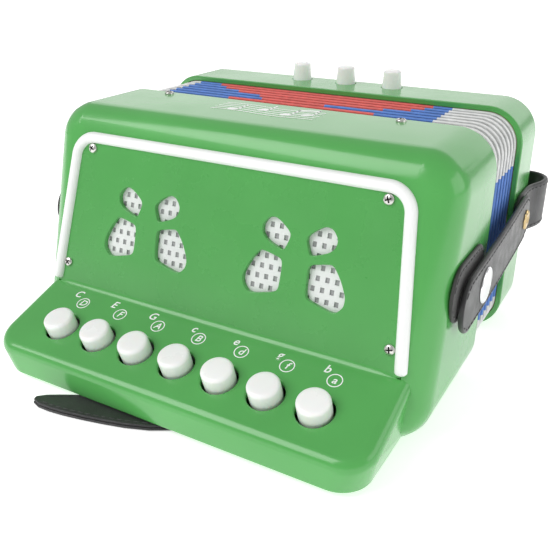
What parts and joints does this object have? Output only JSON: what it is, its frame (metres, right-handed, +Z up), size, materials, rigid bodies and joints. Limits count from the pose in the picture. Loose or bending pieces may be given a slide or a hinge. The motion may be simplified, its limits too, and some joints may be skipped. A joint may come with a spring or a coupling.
{
  "type": "button accordion",
  "caption": "Toy button accordion with green moulded ends, a folding bellows, sprung buttons at both ends and leather straps.",
  "frame": {"origin": "middle of the bounding box at the surface that the accordion stands on", "axes": "+X along the button row to the right, +Y from the treble end to the bass end, the way the bellows open, +Z up"},
  "size_m": [0.193, 0.197, 0.111],
  "materials": {
    "casing_green": "glossy moulded ABS, bright green",
    "white_plastic": "glossy white moulded plastic",
    "screw_nickel": "nickel plated",
    "rod_steel": "plain steel wire",
    "board_wood": "unfinished plywood",
    "reed_brass": "satin brass",
    "bellows_cloth": "card folds covered with woven cloth in white, blue and red",
    "strap_leather": "black grained leather with stitched edges",
    "stud_chrome": "polished",
    "rivet_brass": "polished",
    "lever_plastic": "moulded",
    "pallet_felt": "felt facing"
  },
  "bodies": {
    "treble_end": {"treble_casing": "casing_green", "grille_panel": "casing_green", "trim_bead": "white_plastic", "grille_mesh": "white_plastic", "panel_screws": "screw_nickel", "casing_screws": "screw_nickel", "treble_pivot_rod": "rod_steel", "treble_return_springs": "rod_steel", "treble_reed_board": "board_wood", "treble_reed_plates": "reed_brass", "bellows_end_treble": "bellows_cloth", "strap_tabs": "strap_leather", "stud_posts": "stud_chrome", "thumb_strap": "strap_leather", "thumb_strap_screws": "screw_nickel"},
    "treble_key_1": {"treble_button_1": "white_plastic", "treble_lever_1": "lever_plastic"},
    "treble_key_2": {"treble_button_2": "white_plastic", "treble_lever_2": "lever_plastic"},
    "treble_key_3": {"treble_button_3": "white_plastic", "treble_lever_3": "lever_plastic"},
    "treble_key_4": {"treble_button_4": "white_plastic", "treble_lever_4": "lever_plastic"},
    "treble_key_5": {"treble_button_5": "white_plastic", "treble_lever_5": "lever_plastic"},
    "treble_key_6": {"treble_button_6": "white_plastic", "treble_lever_6": "lever_plastic"},
    "treble_key_7": {"treble_button_7": "white_plastic", "treble_lever_7": "lever_plastic"},
    "fold_1": {"bellows_fold_1": "bellows_cloth"},
    "fold_2": {"bellows_fold_2": "bellows_cloth"},
    "fold_3": {"bellows_fold_3": "bellows_cloth"},
    "fold_4": {"bellows_fold_4": "bellows_cloth"},
    "fold_5": {"bellows_fold_5": "bellows_cloth"},
    "fold_6": {"bellows_fold_6": "bellows_cloth"},
    "fold_7": {"bellows_fold_7": "bellows_cloth"},
    "bass_end": {"bellows_end_bass": "bellows_cloth", "bass_casing": "casing_green", "bass_reed_board": "board_wood", "bass_reed_plates": "reed_brass", "bass_valve_plate": "board_wood", "bass_return_springs": "rod_steel", "strap_rivets": "rivet_brass", "hand_strap": "strap_leather"},
    "bass_key_1": {"bass_button_1": "white_plastic", "bass_pallet_1": "pallet_felt"},
    "bass_key_2": {"bass_button_2": "white_plastic", "bass_pallet_2": "pallet_felt"},
    "bass_key_3": {"bass_button_3": "white_plastic", "bass_pallet_3": "pallet_felt"},
    "closing_strap_right": {"side_strap_right": "strap_leather", "press_stud_right": "stud_chrome"},
    "closing_strap_left": {"side_strap_left": "strap_leather", "press_stud_left": "stud_chrome"}
  },
  "joints": [
    {"name": "fold_1_slide", "type": "slide", "parent": "treble_end", "child": "fold_1", "axis": [0, 1, 0], "range_m": [0, 0.0095]},
    {"name": "fold_2_slide", "type": "slide", "parent": "fold_1", "child": "fold_2", "axis": [0, 1, 0], "range_m": [0, 0.0095]},
    {"name": "fold_3_slide", "type": "slide", "parent": "fold_2", "child": "fold_3", "axis": [0, 1, 0], "range_m": [0, 0.0095]},
    {"name": "fold_4_slide", "type": "slide", "parent": "fold_3", "child": "fold_4", "axis": [0, 1, 0], "range_m": [0, 0.0095]},
    {"name": "fold_5_slide", "type": "slide", "parent": "fold_4", "child": "fold_5", "axis": [0, 1, 0], "range_m": [0, 0.0095]},
    {"name": "fold_6_slide", "type": "slide", "parent": "fold_5", "child": "fold_6", "axis": [0, 1, 0], "range_m": [0, 0.0095]},
    {"name": "fold_7_slide", "type": "slide", "parent": "fold_6", "child": "fold_7", "axis": [0, 1, 0], "range_m": [0, 0.0095]},
    {"name": "bellows_stretch", "type": "slide", "parent": "fold_7", "child": "bass_end", "axis": [0, 1, 0], "range_m": [0, 0.0095]},
    {"name": "treble_key_1_press", "type": "hinge", "parent": "treble_end", "child": "treble_key_1", "pos_m": [0, -0.03428, 0.02859], "axis": [1, 0, 0], "range_deg": [0, 4.5], "stiffness_Nm_per_rad": 0.5, "springref_deg": -3.44},
    {"name": "treble_key_2_press", "type": "hinge", "parent": "treble_end", "child": "treble_key_2", "pos_m": [0, -0.03428, 0.02859], "axis": [1, 0, 0], "range_deg": [0, 4.5], "stiffness_Nm_per_rad": 0.5, "springref_deg": -3.44},
    {"name": "treble_key_3_press", "type": "hinge", "parent": "treble_end", "child": "treble_key_3", "pos_m": [0, -0.03428, 0.02859], "axis": [1, 0, 0], "range_deg": [0, 4.5], "stiffness_Nm_per_rad": 0.5, "springref_deg": -3.44},
    {"name": "treble_key_4_press", "type": "hinge", "parent": "treble_end", "child": "treble_key_4", "pos_m": [0, -0.03428, 0.02859], "axis": [1, 0, 0], "range_deg": [0, 4.5], "stiffness_Nm_per_rad": 0.5, "springref_deg": -3.44},
    {"name": "treble_key_5_press", "type": "hinge", "parent": "treble_end", "child": "treble_key_5", "pos_m": [0, -0.03428, 0.02859], "axis": [1, 0, 0], "range_deg": [0, 4.5], "stiffness_Nm_per_rad": 0.5, "springref_deg": -3.44},
    {"name": "treble_key_6_press", "type": "hinge", "parent": "treble_end", "child": "treble_key_6", "pos_m": [0, -0.03428, 0.02859], "axis": [1, 0, 0], "range_deg": [0, 4.5], "stiffness_Nm_per_rad": 0.5, "springref_deg": -3.44},
    {"name": "treble_key_7_press", "type": "hinge", "parent": "treble_end", "child": "treble_key_7", "pos_m": [0, -0.03428, 0.02859], "axis": [1, 0, 0], "range_deg": [0, 4.5], "stiffness_Nm_per_rad": 0.5, "springref_deg": -3.44},
    {"name": "bass_key_1_press", "type": "slide", "parent": "bass_end", "child": "bass_key_1", "axis": [0, 0, -1], "range_m": [0, 0.0035], "stiffness_N_per_m": 150, "springref_m": -0.003},
    {"name": "bass_key_2_press", "type": "slide", "parent": "bass_end", "child": "bass_key_2", "axis": [0, 0, -1], "range_m": [0, 0.0035], "stiffness_N_per_m": 150, "springref_m": -0.003},
    {"name": "bass_key_3_press", "type": "slide", "parent": "bass_end", "child": "bass_key_3", "axis": [0, 0, -1], "range_m": [0, 0.0035], "stiffness_N_per_m": 150, "springref_m": -0.003},
    {"name": "closing_strap_right_swing", "type": "hinge", "parent": "bass_end", "child": "closing_strap_right", "pos_m": [0.093, 0.0585, 0.054], "axis": [-1, 0, 0], "range_deg": [0, 80]},
    {"name": "closing_strap_left_swing", "type": "hinge", "parent": "bass_end", "child": "closing_strap_left", "pos_m": [-0.093, 0.0585, 0.054], "axis": [-1, 0, 0], "range_deg": [0, 80]}
  ],
  "couplings": [
    {"joint": "fold_1_slide", "follows": "bellows_stretch", "ratio": 1},
    {"joint": "fold_2_slide", "follows": "bellows_stretch", "ratio": 1},
    {"joint": "fold_3_slide", "follows": "bellows_stretch", "ratio": 1},
    {"joint": "fold_4_slide", "follows": "bellows_stretch", "ratio": 1},
    {"joint": "fold_5_slide", "follows": "bellows_stretch", "ratio": 1},
    {"joint": "fold_6_slide", "follows": "bellows_stretch", "ratio": 1},
    {"joint": "fold_7_slide", "follows": "bellows_stretch", "ratio": 1}
  ]
}
